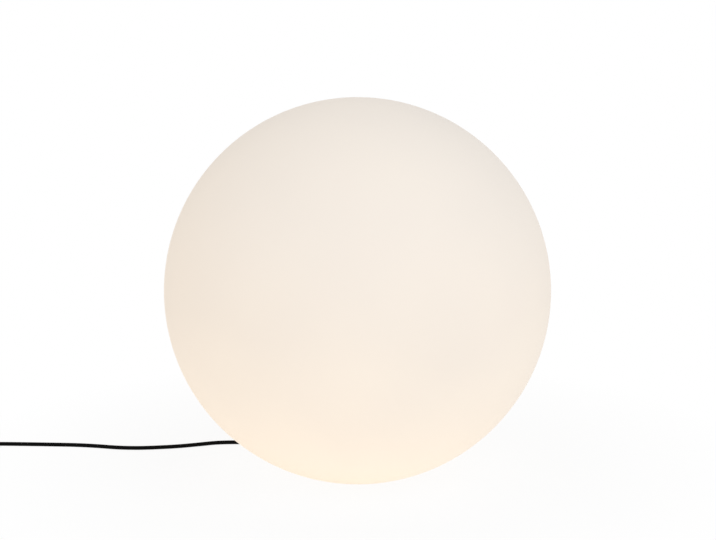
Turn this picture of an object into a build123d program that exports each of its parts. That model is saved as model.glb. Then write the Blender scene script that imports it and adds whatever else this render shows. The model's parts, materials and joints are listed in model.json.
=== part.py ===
from build123d import *
import math
import os

# Outdoor floor lamp: a lit opal globe that rests on a recessed base, with a rubber mains lead.
# Millimetres, +Z up. The origin is on the floor under the middle of the globe, and +Y is the back.

# Globe: a rotomoulded opal sphere with a flat foot ring and a recess that hides the base
globe_radius = 280.0
globe_wall = 3.5
foot_ring_radius = 93.0
foot_ring_lift = 2.5
outlet_width = 14.0
outlet_height = 7.5
outlet_corner = 3.0

# Base: a hat of moulded plastic, whose flange carries the globe and whose crown carries the holder
plate_radius = 70.0
plate_thickness = 3.5
rim_width = 3.5
rim_lift = 2.0
flange_width = 16.5
crown_wall = 3.0
deck_height = 94.0
deck_thickness = 4.0
crown_rounding = 2.0
recess_gap = 3.0
mouth_gap = 2.0
gasket_thickness = 1.5
gasket_margin = 0.8

# Rubber feet under the flange
foot_radius = 7.0
foot_spigot_radius = 3.0
foot_angles = [0, 60, 120, 180, 240, 300]

# Screws that hold the globe, their washers and the brass inserts in the globe
globe_screw_radius = 2.5
globe_screw_length = 16.0
globe_screw_head_radius = 4.5
globe_screw_head_height = 3.0
screw_slot_width = 1.2
screw_slot_depth = 1.3
washer_radius = 5.2
washer_thickness = 1.0
insert_radius = 3.5
insert_length = 10.0
insert_boss_wall = 2.4
insert_boss_cap = 1.5
screw_tip_gap = 1.5
globe_screw_angles = [30, 150, 210, 330]

# Clearances
hole_clearance = 0.25
fit_clearance = 0.1

# Cord
cord_radius = 3.0
cord_floor_gap = 0.05
cord_headroom = 0.45
cord_corner_share = 0.45
core_radius = 1.1
core_spacing = 3.0
sheath_end_rise = 4.0

# Cable gland in the deck
gland_thread_radius = 6.0
gland_across_flats = 15.0
gland_flange_height = 5.0
gland_spigot_radius = 6.5
gland_spigot_length = 8.0
gland_seal_radius = 5.2
gland_seal_length = 6.6
gland_washer_thickness = 1.5
gland_washer_radius = 8.4
locknut_height = 4.5
thread_overrun = 1.5
dome_nut_across_flats = 17.0
dome_nut_floor = 4.0
dome_nut_gap = 0.5

# Steel bridge that carries the lamp holder
bracket_height = 26.0
bracket_sheet = 2.0
bracket_span = 44.0
bracket_foot = 12.0
bracket_width = 16.0
bracket_screw_radius = 2.0
bracket_screw_length = 14.0
bracket_screw_head_radius = 4.0
bracket_screw_head_height = 2.6
bracket_boss_radius = 4.5
bracket_boss_floor = 2.0

# Threaded nipple between the bridge and the holder
nipple_radius = 5.0
nipple_bore = 3.6
nipple_nut_across_flats = 14.0
nipple_nut_height = 4.0
nipple_overrun = 2.0

# Lamp holder for a 27 mm screw cap
holder_neck_radius = 14.0
holder_base = 4.0
holder_wall = 2.4
wire_room = 14.0
core_ledge = 1.5
core_block_margin = 0.9
core_block_height = 12.0
holder_spigot_length = 12.0
holder_cover = 4.0
sleeve_wall = 2.1
skirt_wall = 2.5
skirt_overrun = 2.0
screw_shell_sheet = 0.5
screw_shell_mouth = 7.0
contact_rise = 3.8
contact_sheet = 0.6
contact_width = 6.0
terminal_offset = 8.5
terminal_length = 9.0
terminal_width = 6.0
terminal_height = 6.8
terminal_wire_offset = 2.4
terminal_wire_depth = 3.0
terminal_screw_radius = 1.3
terminal_screw_head_radius = 2.0
terminal_screw_head_height = 1.6
terminal_screw_depth = 4.0

# Bulb with a 27 mm screw cap, standing on the holder's middle contact
bulb_radius = 30.0
bulb_length = 110.0
bulb_contact_gap = 0.2
bulb_contact_radius = 4.7
bulb_contact_height = 1.6
insulator_step = 1.2
insulator_height = 4.6
cap_length = 27.0
cap_thread_radius = 13.2
cap_thread_gap = 0.4
cap_thread_depth = 1.0
cap_thread_pitch = 3.629
cap_thread_turns = 5
cap_thread_start = 9.0
cap_sheet = 0.8
cap_collar_radius = 14.2
cap_collar_height = 3.0
housing_height = 46.0
housing_wall = 2.0
housing_belly = 1.2
housing_neck_length = 6.0
led_board_thickness = 1.6
led_board_drop = 3.0
led_count = 10
led_circle_radius = 16.0
led_length = 3.5
led_width = 2.8
led_height = 0.8
driver_width = 16.0
driver_sheet = 1.6
driver_capacitor_radius = 4.0
driver_capacitor_length = 14.0
driver_coil_size = 9.0
diffuser_wall = 1.5
diffuser_gap = 0.2

# Wound cord, tie and plug, put away on the floor beside the lamp
coil_centre_x = -612.0
coil_entry_y = 98.0
coil_outer_radius = 43.5
coil_gap = 0.5
coil_turns = 5.25
coil_climb = 0.5
coil_samples_per_turn = 96
coil_tail = 22.0
tie_thickness = 0.8
tie_width = 9.0
tie_gap = 0.1
boot_length = 24.0
boot_end_radius = 4.2
boot_root_radius = 6.4
boot_groove_depth = 0.8
boot_groove_count = 4
plug_length = 38.0
plug_width = 36.0
plug_corner = 5.0
plug_nose = 10.0
plug_back_width = 17.0
plug_back_height = 14.0
pin_radius = 2.4
pin_length = 19.0
pin_spacing = 19.0
pin_root_radius = 2.0
pin_embedded = 10.0

# Levels and radii of the base, whose feet lift the flange clear of the cord
foot_height = 2 * cord_radius + cord_floor_gap + cord_headroom
plate_bottom = foot_height
plate_top = plate_bottom + plate_thickness
seat_bottom = plate_top + gasket_thickness
seat_top = seat_bottom + globe_wall
deck_bottom = deck_height - deck_thickness
crown_radius = plate_radius - rim_width - flange_width
recess_radius = plate_radius + recess_gap
mouth_radius = crown_radius + mouth_gap
fixing_circle = crown_radius + flange_width / 2
globe_centre = foot_ring_lift + math.sqrt(globe_radius**2 - foot_ring_radius**2)
insert_boss_radius = insert_radius + insert_boss_wall
screw_hole_top = plate_bottom - washer_thickness + globe_screw_length + screw_tip_gap

# Levels of the gland
gland_flange_top = deck_bottom - gland_washer_thickness
gland_flange_bottom = gland_flange_top - gland_flange_height
gland_spigot_bottom = gland_flange_bottom - gland_spigot_length
dome_nut_top = gland_flange_bottom - dome_nut_gap
gland_mouth = gland_spigot_bottom - dome_nut_gap - dome_nut_floor
gland_top = deck_height + locknut_height + thread_overrun
sheath_end = gland_top + sheath_end_rise
gland_bore = cord_radius + hole_clearance

# Levels of the holder
bracket_top = deck_height + bracket_height
bracket_screw_x = (bracket_span + bracket_foot) / 2
holder_floor = bracket_top + holder_base
core_block_bottom = holder_floor + wire_room
core_block_top = core_block_bottom + core_block_height
contact_top = core_block_top + contact_rise
spigot_top = core_block_top - holder_cover
spigot_bottom = spigot_top - holder_spigot_length

# Radii of the holder, outwards from the bulb's screw cap
screw_shell_bore = cap_thread_radius + cap_thread_gap
core_block_radius = screw_shell_bore + screw_shell_sheet + core_block_margin
wire_room_radius = core_block_radius - core_ledge
core_pocket_radius = core_block_radius + hole_clearance
holder_spigot_radius = core_pocket_radius + holder_wall
sleeve_bore = holder_spigot_radius + hole_clearance
holder_radius = sleeve_bore + sleeve_wall

# Levels of the bulb, and of the shell and skirt that take its cap
bulb_tip = contact_top + bulb_contact_gap
insulator_bottom = bulb_tip + bulb_contact_height
cap_bottom = insulator_bottom + insulator_height
cap_top = bulb_tip + cap_length
screw_shell_top = cap_top - cap_collar_height
skirt_top = screw_shell_top + skirt_overrun
housing_top = cap_top + housing_height
led_board_bottom = housing_top - led_board_drop
bulb_top = bulb_tip + bulb_length
dome_centre = bulb_top - bulb_radius
dome_rim = housing_top + diffuser_gap
dome_rim_radius = math.sqrt(bulb_radius**2 - (dome_centre - dome_rim) ** 2)
cap_root_radius = cap_thread_radius - cap_thread_depth
cap_bore = cap_root_radius - cap_sheet
insulator_top_radius = cap_root_radius - insulator_step
housing_neck_radius = cap_bore - fit_clearance
led_board_radius = dome_rim_radius - housing_wall - hole_clearance

# Cord's levels on the floor and in the coil
coil_pitch = 2 * cord_radius + coil_gap
cord_level = cord_radius + cord_floor_gap
coil_level = cord_level + tie_thickness + tie_gap
coil_centre_y = coil_entry_y + coil_outer_radius
plug_half_height = coil_level + coil_pitch - cord_floor_gap

# Route of the free cord: down from the gland, out at the back, round to the left and along the floor
cord_route = [
    (0, 0, gland_mouth),
    (0, 0, cord_level),
    (0, 78, cord_level),
    (-6, 150, cord_level),
    (-70, 157, cord_level),
    (-140, 107, cord_level),
    (-208, 110, cord_level),
    (-245, 96.5, cord_level),
    (-283, 85, cord_level),
    (-348, 77, cord_level),
    (-413, 94, cord_level),
    (-479, 98, cord_level),
    (-543, coil_entry_y, coil_level),
    (coil_centre_x + 2 * cord_radius, coil_entry_y, coil_level),
]


def disc(radius, bottom, top):
    """Upright cylinder on the Z axis between two levels."""
    return Pos(0, 0, bottom) * Cylinder(radius, top - bottom, align=(Align.CENTER, Align.CENTER, Align.MIN))


def ring(outer, inner, bottom, top):
    """Upright tube on the Z axis between two levels."""
    return disc(outer, bottom, top) - disc(inner, bottom, top)


def hexagon(across_flats, bottom, top):
    """Upright hexagonal prism on the Z axis between two levels."""
    face = RegularPolygon(across_flats / 2, 6, major_radius=False)
    return Pos(0, 0, bottom) * extrude(face, top - bottom)


def turned(*outline):
    """Solid turned about the Z axis from a closed outline of (radius, level) points."""
    return revolve(Plane.XZ * make_face(Polyline(*outline, close=True)), Axis.Z)


def spread(shape, radius, angles):
    """Copies of a shape on a circle round the Z axis."""
    return [Rot(0, 0, angle) * Pos(radius, 0, 0) * shape for angle in angles]


def slotted_screw(shank_radius, length, head_radius, head_height):
    """Cheese-head screw with its shank up from Z = 0 and its slotted head below."""
    head = disc(head_radius, -head_height, 0)
    slot = Box(2 * head_radius, screw_slot_width, 2 * screw_slot_depth)
    return head - Pos(0, 0, -head_height) * slot + disc(shank_radius, 0, length)


def outlet_arch(grow, start, end):
    """Arched channel for the cord along +Y on the floor, grown all round by a wall."""
    width = outlet_width + 2 * grow
    height = outlet_height + grow
    block = Box(width, end - start, height, align=(Align.CENTER, Align.MIN, Align.MIN))
    top_edges = block.edges().filter_by(Axis.Y).sort_by(Axis.Z)[-2:]
    return Pos(0, start, 0) * fillet(top_edges, outlet_corner + grow)


def make_globe_shell():
    """Opal sphere of even wall, re-entrant at the base, with screw bosses and a cord outlet."""
    centre = Pos(0, 0, globe_centre)
    outside = centre * Sphere(globe_radius) - disc(globe_radius, -globe_radius, foot_ring_lift)
    outside -= disc(recess_radius, 0, seat_bottom)
    inside = centre * Sphere(globe_radius - globe_wall)
    inside -= disc(globe_radius, -globe_radius, foot_ring_lift + globe_wall)
    inside -= disc(recess_radius + globe_wall, 0, seat_top)
    shell = outside - inside
    lining = outlet_arch(globe_wall, recess_radius - recess_gap, globe_radius) & outside
    shell += lining
    shell -= outlet_arch(0, 0, globe_radius)
    boss_top = screw_hole_top + insert_boss_cap
    boss = disc(insert_boss_radius, seat_bottom, boss_top)
    shell += spread(boss, fixing_circle, globe_screw_angles)
    shell -= disc(mouth_radius, 0, boss_top)
    hole = disc(insert_radius, 0, seat_bottom + insert_length)
    shell -= spread(hole, fixing_circle, globe_screw_angles)
    tip_hole = disc(globe_screw_radius + hole_clearance, 0, screw_hole_top)
    shell -= spread(tip_hole, fixing_circle, globe_screw_angles)
    return shell


def make_threaded_inserts():
    """Brass bushes in the globe's bosses."""
    insert = ring(
        insert_radius, globe_screw_radius + hole_clearance, seat_bottom, seat_bottom + insert_length
    )
    return spread(insert, fixing_circle, globe_screw_angles)


def make_base_plate():
    """Hat-shaped moulding: flange, rim, crown wall and deck, with its bosses and holes."""
    plate = ring(plate_radius, crown_radius - crown_wall, plate_bottom, plate_top)
    plate += ring(plate_radius, plate_radius - rim_width, rim_lift, plate_bottom)
    crown = disc(crown_radius, plate_bottom, deck_height)
    crown = fillet(crown.edges().group_by(Axis.Z)[-1], crown_rounding)
    crown -= disc(crown_radius - crown_wall, 0, deck_bottom)
    plate += crown
    boss_bottom = deck_height + bracket_sheet - bracket_screw_length - bracket_boss_floor
    boss = disc(bracket_boss_radius, boss_bottom, deck_bottom)
    plate += spread(boss, bracket_screw_x, [0, 180])
    pilot = disc(bracket_screw_radius + fit_clearance, boss_bottom + bracket_boss_floor, deck_height)
    plate -= spread(pilot, bracket_screw_x, [0, 180])
    plate -= disc(gland_thread_radius + hole_clearance, deck_bottom, deck_height)
    plate -= spread(
        disc(globe_screw_radius + hole_clearance, plate_bottom, plate_top), fixing_circle, globe_screw_angles
    )
    plate -= spread(
        disc(foot_spigot_radius + fit_clearance, plate_bottom, plate_top), fixing_circle, foot_angles
    )
    notch = Pos(0, crown_radius, 0) * Box(
        outlet_width, plate_radius, plate_bottom, align=(Align.CENTER, Align.MIN, Align.MIN)
    )
    return plate - notch


def make_base_gasket():
    """Flat rubber ring between the flange and the globe."""
    gasket = ring(plate_radius - gasket_margin, mouth_radius + gasket_margin, plate_top, seat_bottom)
    hole = disc(globe_screw_radius + hole_clearance, plate_top, seat_bottom)
    return gasket - spread(hole, fixing_circle, globe_screw_angles)


def make_base_screws():
    """Screws up through the flange into the globe's inserts."""
    screw = slotted_screw(
        globe_screw_radius, globe_screw_length, globe_screw_head_radius, globe_screw_head_height
    )
    seated = Pos(0, 0, plate_bottom - washer_thickness) * screw
    return spread(seated, fixing_circle, globe_screw_angles)


def make_screw_washers():
    """Washers under the heads of the base screws."""
    washer = ring(
        washer_radius, globe_screw_radius + hole_clearance, plate_bottom - washer_thickness, plate_bottom
    )
    return spread(washer, fixing_circle, globe_screw_angles)


def make_rubber_feet():
    """Feet pushed into the flange from below."""
    foot = disc(foot_radius, 0, plate_bottom)
    foot = fillet(foot.edges().group_by(Axis.Z)[0], rim_lift / 2)
    foot += disc(foot_spigot_radius, plate_bottom, plate_top)
    return spread(foot, fixing_circle, foot_angles)


def make_gland_body():
    """Gland's body: a threaded stem up through the deck, a hexagon and a spigot for the seal."""
    body = disc(gland_thread_radius, gland_flange_top, gland_top)
    body += hexagon(gland_across_flats, gland_flange_bottom, gland_flange_top)
    body += disc(gland_spigot_radius, gland_spigot_bottom, gland_flange_bottom)
    body -= disc(gland_bore, gland_spigot_bottom, gland_top)
    seal_room = gland_spigot_bottom + gland_seal_length
    return body - disc(gland_seal_radius + fit_clearance, gland_spigot_bottom, seal_room)


def make_gland_washer():
    """Sealing ring between the gland's hexagon and the deck."""
    return ring(gland_washer_radius, gland_thread_radius + fit_clearance, gland_flange_top, deck_bottom)


def make_gland_locknut():
    """Nut on top of the deck."""
    nut = hexagon(gland_across_flats, deck_height, deck_height + locknut_height)
    return nut - disc(gland_thread_radius + fit_clearance, deck_height, deck_height + locknut_height)


def make_gland_seal():
    """Rubber sleeve squeezed round the cord."""
    return ring(
        gland_seal_radius,
        cord_radius + fit_clearance,
        gland_spigot_bottom,
        gland_spigot_bottom + gland_seal_length,
    )


def make_gland_dome_nut():
    """Cap nut that squeezes the seal; its mouth is where the cord leaves the lamp."""
    nut = hexagon(dome_nut_across_flats, gland_mouth, dome_nut_top)
    corner = dome_nut_across_flats / math.sqrt(3)
    tapered = turned(
        (0, gland_mouth),
        (gland_spigot_radius, gland_mouth),
        (corner, gland_mouth + dome_nut_floor),
        (corner, dome_nut_top),
        (0, dome_nut_top),
    )
    nut &= tapered
    nut -= disc(gland_spigot_radius + fit_clearance, gland_mouth + dome_nut_floor, dome_nut_top)
    return nut - disc(gland_bore, gland_mouth, dome_nut_top)


def make_holder_bracket():
    """Bridge of bent sheet steel over the gland."""
    outer = bracket_span / 2
    inner = outer - bracket_sheet
    tip = outer + bracket_foot
    top = bracket_top
    foot = deck_height + bracket_sheet
    right = [(tip, deck_height), (tip, foot), (outer, foot), (outer, top)]
    left = [(-x, z) for x, z in reversed(right)]
    under = [
        (-inner, deck_height),
        (-inner, top - bracket_sheet),
        (inner, top - bracket_sheet),
        (inner, deck_height),
    ]
    face = Plane.XZ * make_face(Polyline(*right, *left, *under, close=True))
    bracket = extrude(face, bracket_width / 2, both=True)
    bracket -= disc(nipple_radius + hole_clearance, top - bracket_sheet, top)
    hole = disc(bracket_screw_radius + hole_clearance, deck_height, foot)
    return bracket - spread(hole, bracket_screw_x, [0, 180])


def make_bracket_screws():
    """Two screws through the bridge's feet into the deck's bosses."""
    screw = slotted_screw(
        bracket_screw_radius, bracket_screw_length, bracket_screw_head_radius, bracket_screw_head_height
    )
    seated = Pos(0, 0, deck_height + bracket_sheet) * Rot(180, 0, 0) * screw
    return spread(seated, bracket_screw_x, [0, 180])


def make_holder_nipple():
    """Hollow threaded rod that the wires go up through."""
    bottom = bracket_top - bracket_sheet - nipple_nut_height - nipple_overrun
    return ring(nipple_radius, nipple_bore, bottom, holder_floor)


def make_nipple_nut():
    """Nut under the bridge."""
    top = bracket_top - bracket_sheet
    nut = hexagon(nipple_nut_across_flats, top - nipple_nut_height, top)
    return nut - disc(nipple_radius + fit_clearance, top - nipple_nut_height, top)


def make_holder_cap():
    """Lower half of the lamp holder: wiring space, ledge for the core block and a spigot."""
    shoulder = (holder_floor + spigot_bottom) / 2
    return turned(
        (nipple_radius + fit_clearance, bracket_top),
        (holder_neck_radius, bracket_top),
        (holder_radius, shoulder),
        (holder_radius, spigot_bottom),
        (holder_spigot_radius, spigot_bottom),
        (holder_spigot_radius, spigot_top),
        (core_pocket_radius, spigot_top),
        (core_pocket_radius, core_block_bottom),
        (wire_room_radius, core_block_bottom),
        (wire_room_radius, shoulder),
        (holder_neck_radius - holder_wall, holder_floor),
        (nipple_radius + fit_clearance, holder_floor),
    )


def make_holder_core():
    """Ceramic block that carries the contacts and the wire terminals."""
    block = disc(core_block_radius, core_block_bottom, core_block_top)
    pocket = Pos(0, 0, core_block_bottom) * Box(
        terminal_width + 2 * fit_clearance,
        terminal_length + 2 * fit_clearance,
        terminal_height,
        align=(Align.CENTER, Align.CENTER, Align.MIN),
    )
    return block - spread(pocket, terminal_offset, [0, 180])


def make_wire_terminals():
    """Two brass clamps, each with a hole for its wire and one for its screw."""
    block = Pos(0, 0, core_block_bottom) * Box(
        terminal_width, terminal_length, terminal_height, align=(Align.CENTER, Align.CENTER, Align.MIN)
    )
    wire_top = core_block_bottom + terminal_wire_depth
    screw_top = core_block_bottom + terminal_screw_depth
    wire_hole = disc(core_radius + fit_clearance, core_block_bottom, wire_top)
    screw_hole = disc(terminal_screw_radius + fit_clearance, core_block_bottom, screw_top)
    block -= Pos(0, -terminal_wire_offset, 0) * wire_hole
    block -= Pos(0, terminal_wire_offset, 0) * screw_hole
    return [Pos(side * terminal_offset, 0, 0) * block for side in (-1, 1)]


def make_terminal_screws():
    """Clamp screws of the terminals, driven from below."""
    screw = slotted_screw(
        terminal_screw_radius, terminal_screw_depth, terminal_screw_head_radius, terminal_screw_head_height
    )
    level = core_block_bottom
    return [Pos(side * terminal_offset, terminal_wire_offset, level) * screw for side in (-1, 1)]


def make_screw_shell():
    """Plated sheet cup that takes the bulb's screw cap."""
    outer = screw_shell_bore + screw_shell_sheet
    shell = disc(outer, core_block_top, screw_shell_top)
    shell -= disc(screw_shell_bore, core_block_top + screw_shell_sheet, screw_shell_top)
    return shell - disc(screw_shell_mouth, core_block_top, core_block_top + screw_shell_sheet)


def make_centre_contact():
    """Sprung tongue under the tip of the bulb."""
    low = core_block_top
    reach = screw_shell_mouth - 2 * contact_sheet
    bend = reach / 2
    face = make_face(
        Polyline(
            (-reach, low),
            (-bend, low),
            (0, contact_top - contact_sheet),
            (bulb_contact_radius, contact_top - contact_sheet),
            (bulb_contact_radius, contact_top),
            (-contact_sheet, contact_top),
            (-bend - contact_sheet, low + contact_sheet),
            (-reach, low + contact_sheet),
            close=True,
        )
    )
    return extrude(Plane.XZ * face, contact_width / 2, both=True)


def make_holder_skirt():
    """Sleeve screwed over the spigot; it shrouds the screw shell."""
    neck = core_pocket_radius + skirt_wall
    slope = holder_radius - neck
    ledge = spigot_top + hole_clearance
    return turned(
        (sleeve_bore, spigot_bottom),
        (holder_radius, spigot_bottom),
        (holder_radius, ledge + slope),
        (neck, ledge + 2 * slope),
        (neck, skirt_top),
        (core_pocket_radius, skirt_top),
        (core_pocket_radius, ledge),
        (sleeve_bore, ledge),
    )


def make_core_wire(side):
    """One insulated core of the cord, from the stripped end up into its terminal."""
    start_x = side * core_spacing / 2
    end_x = side * terminal_offset
    end_y = -terminal_wire_offset
    end_level = core_block_bottom + terminal_wire_depth
    points = [
        (start_x, 0, sheath_end),
        (start_x, 0, holder_floor + core_radius),
        (end_x, end_y, core_block_bottom - 2 * core_radius),
        (end_x, end_y, end_level),
    ]
    path = FilletPolyline(*points, radius=2 * core_radius)
    return sweep(Plane((start_x, 0, sheath_end)) * Circle(core_radius), path=path)


def make_bulb_contact():
    """Solder contact on the tip of the bulb."""
    contact = disc(bulb_contact_radius, bulb_tip, insulator_bottom)
    return fillet(contact.edges().group_by(Axis.Z)[0], bulb_contact_height / 2)


def make_bulb_insulator():
    """Black cone between the tip and the screw cap."""
    return turned(
        (0, insulator_bottom),
        (bulb_contact_radius + cap_thread_depth, insulator_bottom),
        (insulator_top_radius, cap_bottom),
        (0, cap_bottom),
    )


def make_bulb_cap():
    """Sheet screw cap; its rolled thread is drawn as rings."""
    cap = disc(cap_root_radius, cap_bottom, cap_top - cap_collar_height)
    for turn in range(cap_thread_turns):
        level = bulb_tip + cap_thread_start + turn * cap_thread_pitch
        cap += Pos(0, 0, level) * Torus(cap_root_radius, cap_thread_depth)
    cap += turned(
        (0, cap_top - cap_collar_height),
        (cap_root_radius, cap_top - cap_collar_height),
        (cap_collar_radius, cap_top),
        (0, cap_top),
    )
    return cap - disc(cap_bore, cap_bottom + cap_sheet, cap_top)


def make_bulb_housing():
    """Flared body of the bulb, with a neck in the cap and a ledge for the light board."""
    inner_neck = housing_neck_radius - housing_wall
    rim = dome_rim_radius
    pocket = rim - housing_wall
    ledge = pocket - housing_wall
    middle = (cap_top + housing_top) / 2
    waist = (cap_collar_radius + rim) / 2 - housing_belly
    outside = ThreePointArc((cap_collar_radius, cap_top), (waist, middle), (rim, housing_top))
    inside = ThreePointArc(
        (ledge, led_board_bottom), (waist - housing_wall, middle), (inner_neck, cap_top + housing_wall)
    )
    neck_bottom = cap_top - housing_neck_length
    rim_steps = Polyline(
        (rim, housing_top), (pocket, housing_top), (pocket, led_board_bottom), (ledge, led_board_bottom)
    )
    neck_steps = Polyline(
        (inner_neck, cap_top + housing_wall),
        (inner_neck, neck_bottom),
        (housing_neck_radius, neck_bottom),
        (housing_neck_radius, cap_top),
        (cap_collar_radius, cap_top),
    )
    face = make_face(outside.edges() + rim_steps.edges() + inside.edges() + neck_steps.edges())
    return revolve(Plane.XZ * face, Axis.Z)


def make_bulb_light_board():
    """Metal-cored board that carries the light chips."""
    return disc(led_board_radius, led_board_bottom, led_board_bottom + led_board_thickness)


def make_bulb_light_chips():
    """Light chips on a circle on the board."""
    chip = Pos(0, 0, led_board_bottom + led_board_thickness) * Box(
        led_width, led_length, led_height, align=(Align.CENTER, Align.CENTER, Align.MIN)
    )
    angles = [360 * index / led_count for index in range(led_count)]
    return spread(chip, led_circle_radius, angles)


def make_bulb_driver():
    """Upright circuit board in the housing, with a capacitor and a wound part."""
    bottom = cap_top - housing_neck_length
    height = led_board_bottom - bottom
    board = Pos(0, 0, bottom) * Box(
        driver_width, driver_sheet, height, align=(Align.CENTER, Align.CENTER, Align.MIN)
    )
    capacitor_level = bottom + housing_neck_length + housing_wall
    capacitor = disc(driver_capacitor_radius, capacitor_level, capacitor_level + driver_capacitor_length)
    board += Pos(0, driver_capacitor_radius, 0) * capacitor
    wound_level = led_board_bottom - driver_coil_size
    board += Pos(0, -driver_coil_size / 2, wound_level) * Box(
        driver_coil_size, driver_coil_size, driver_coil_size - housing_wall
    )
    return board


def make_bulb_diffuser():
    """Frosted dome of the bulb."""
    outside = Pos(0, 0, dome_centre) * Sphere(bulb_radius)
    inside = Pos(0, 0, dome_centre) * Sphere(bulb_radius - diffuser_wall)
    return outside - inside - disc(bulb_radius, dome_centre - bulb_radius, dome_rim)


def cord_section(point, direction):
    """Round section of the cord across a direction."""
    return Plane(origin=point, z_dir=direction) * Circle(cord_radius)


def make_cord_entry():
    """Straight end of the cord inside the gland."""
    return disc(cord_radius, gland_mouth, sheath_end)


def make_cord_lead():
    """Free cord on straight runs and tangent arcs, each as large as its runs allow."""
    points = [Vector(*point) for point in cord_route]
    runs = [after - before for before, after in zip(points, points[1:])]
    radii = []
    for before, after in zip(runs, runs[1:]):
        half_turn = math.radians(before.get_angle(after)) / 2
        radii.append(cord_corner_share * min(before.length, after.length) / math.tan(half_turn))
    print("cord lead radii:", [round(radius, 1) for radius in radii])
    path = FilletPolyline(*points, radius=radii)
    tube = sweep(cord_section(points[0], runs[0]), path=path)
    expected = math.pi * cord_radius**2 * path.length
    print(f"cord lead: length {path.length:.0f} mm, volume ratio {tube.volume / expected:.4f}")
    return tube


def coil_point(turn):
    """Middle of the wound cord after a number of turns, clockwise from above."""
    halfway = coil_turns / 2
    radius = coil_outer_radius - coil_pitch * (halfway - abs(turn - halfway))
    angle = math.radians(270 - 360 * turn)
    share = min(max((turn - halfway) / coil_climb + 0.5, 0), 1)
    level = coil_level + coil_pitch * share * share * (3 - 2 * share)
    x = coil_centre_x + radius * math.cos(angle)
    y = coil_centre_y + radius * math.sin(angle)
    return Vector(x, y, level)


def coil_direction(turn):
    """Direction of the wound cord after a number of turns; it enters and leaves tangentially."""
    if turn == 0 or turn == coil_turns:
        angle = math.radians(270 - 360 * turn)
        return Vector(math.sin(angle), -math.cos(angle), 0)
    step = 0.001
    return (coil_point(turn + step) - coil_point(turn - step)).normalized()


def biarc(start, start_direction, end, end_direction):
    """Two tangent arcs that join two points in given directions."""
    chord = end - start
    blend = start_direction + end_direction
    square = 2 * (1 - start_direction.dot(end_direction))
    linear = 2 * chord.dot(blend)
    reach = (math.sqrt(linear**2 + 4 * square * chord.dot(chord)) - linear) / (2 * square)
    first_corner = start + start_direction * reach
    last_corner = end - end_direction * reach
    middle = (first_corner + last_corner) / 2
    first = Edge.make_tangent_arc(start, start_direction, middle)
    last = Edge.make_tangent_arc(middle, last_corner - first_corner, end)
    return [first, last]


def coil_samples():
    """Points along the wound cord, with the turn of each."""
    count = round(coil_turns * coil_samples_per_turn)
    turns = [coil_turns * index / count for index in range(count + 1)]
    return [(turn, coil_point(turn)) for turn in turns]


def least_coil_gap():
    """Smallest gap between stretches of the wound cord that lie half a turn or more apart."""
    samples = coil_samples()
    least = min(
        (point - other).length
        for index, (turn, point) in enumerate(samples)
        for later, other in samples[index + 1 :]
        if later - turn > 0.5
    )
    return least - 2 * cord_radius


def coil_end():
    """Point where the wound cord meets the plug's boot, and its direction there."""
    direction = coil_direction(coil_turns)
    return coil_point(coil_turns) + direction * coil_tail, direction


def make_cord_coil():
    """Put-away length of the cord in two layers, on arcs that follow a flat spiral in and out."""
    quarters = round(coil_turns * 4)
    start = coil_point(0) - coil_direction(0) * 2 * cord_radius
    end, end_direction = coil_end()
    edges = [Edge.make_line(start, coil_point(0))]
    for quarter in range(quarters):
        before = quarter * coil_turns / quarters
        after = (quarter + 1) * coil_turns / quarters
        edges += biarc(coil_point(before), coil_direction(before), coil_point(after), coil_direction(after))
    edges.append(Edge.make_line(coil_point(coil_turns), end))
    path = Wire(edges)
    tube = sweep(cord_section(start, coil_direction(0)), path=path)
    expected = math.pi * cord_radius**2 * path.length
    print(f"cord coil: length {path.length:.0f} mm, volume ratio {tube.volume / expected:.4f}")
    print(f"cord coil: least gap to itself {least_coil_gap():.2f} mm")
    return tube


def make_cord_tie():
    """Soft strap round the wound cord at the back of the coil."""
    reach = cord_radius + tie_gap
    held = [
        point
        for turn, point in coil_samples()
        if point.Y > coil_centre_y and abs(point.X - coil_centre_x) < tie_width / 2 + cord_radius
    ]
    front = min(point.Y for point in held) - reach
    back = max(point.Y for point in held) + reach
    bottom = min(point.Z for point in held) - reach
    top = max(point.Z for point in held) + reach
    hole = Rectangle(back - front, top - bottom)
    strap = RectangleRounded(
        back - front + 2 * tie_thickness, top - bottom + 2 * tie_thickness, 2 * tie_thickness
    )
    middle = Vector(coil_centre_x, (front + back) / 2, (bottom + top) / 2)
    side_view = Plane(origin=middle, x_dir=(0, 1, 0), z_dir=(1, 0, 0))
    return extrude(side_view * (strap - hole), tie_width / 2, both=True)


def plug_plane(distance):
    """Plane across the plug at a distance from the end of the coil, with its X along the plug's width."""
    end, direction = coil_end()
    return Plane(origin=end + direction * distance, x_dir=(-1, 0, 0), z_dir=direction)


def make_plug_boot():
    """Tapered strain relief with grooves."""
    outline = [(0, 0), (boot_end_radius, 0)]
    step = boot_length / (boot_groove_count + 1)
    growth = (boot_root_radius - boot_end_radius) / (boot_groove_count + 1)
    for groove in range(1, boot_groove_count + 1):
        level = groove * step
        radius = boot_end_radius + groove * growth
        outline += [
            (radius, level - step / 4),
            (radius - boot_groove_depth, level - step / 4),
            (radius - boot_groove_depth, level),
            (radius, level),
        ]
    outline += [(boot_root_radius, boot_length), (0, boot_length)]
    return plug_plane(0) * turned(*outline)


def plug_pin_places():
    """Sideways offsets of the two pins."""
    return [-pin_spacing / 2, pin_spacing / 2]


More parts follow.
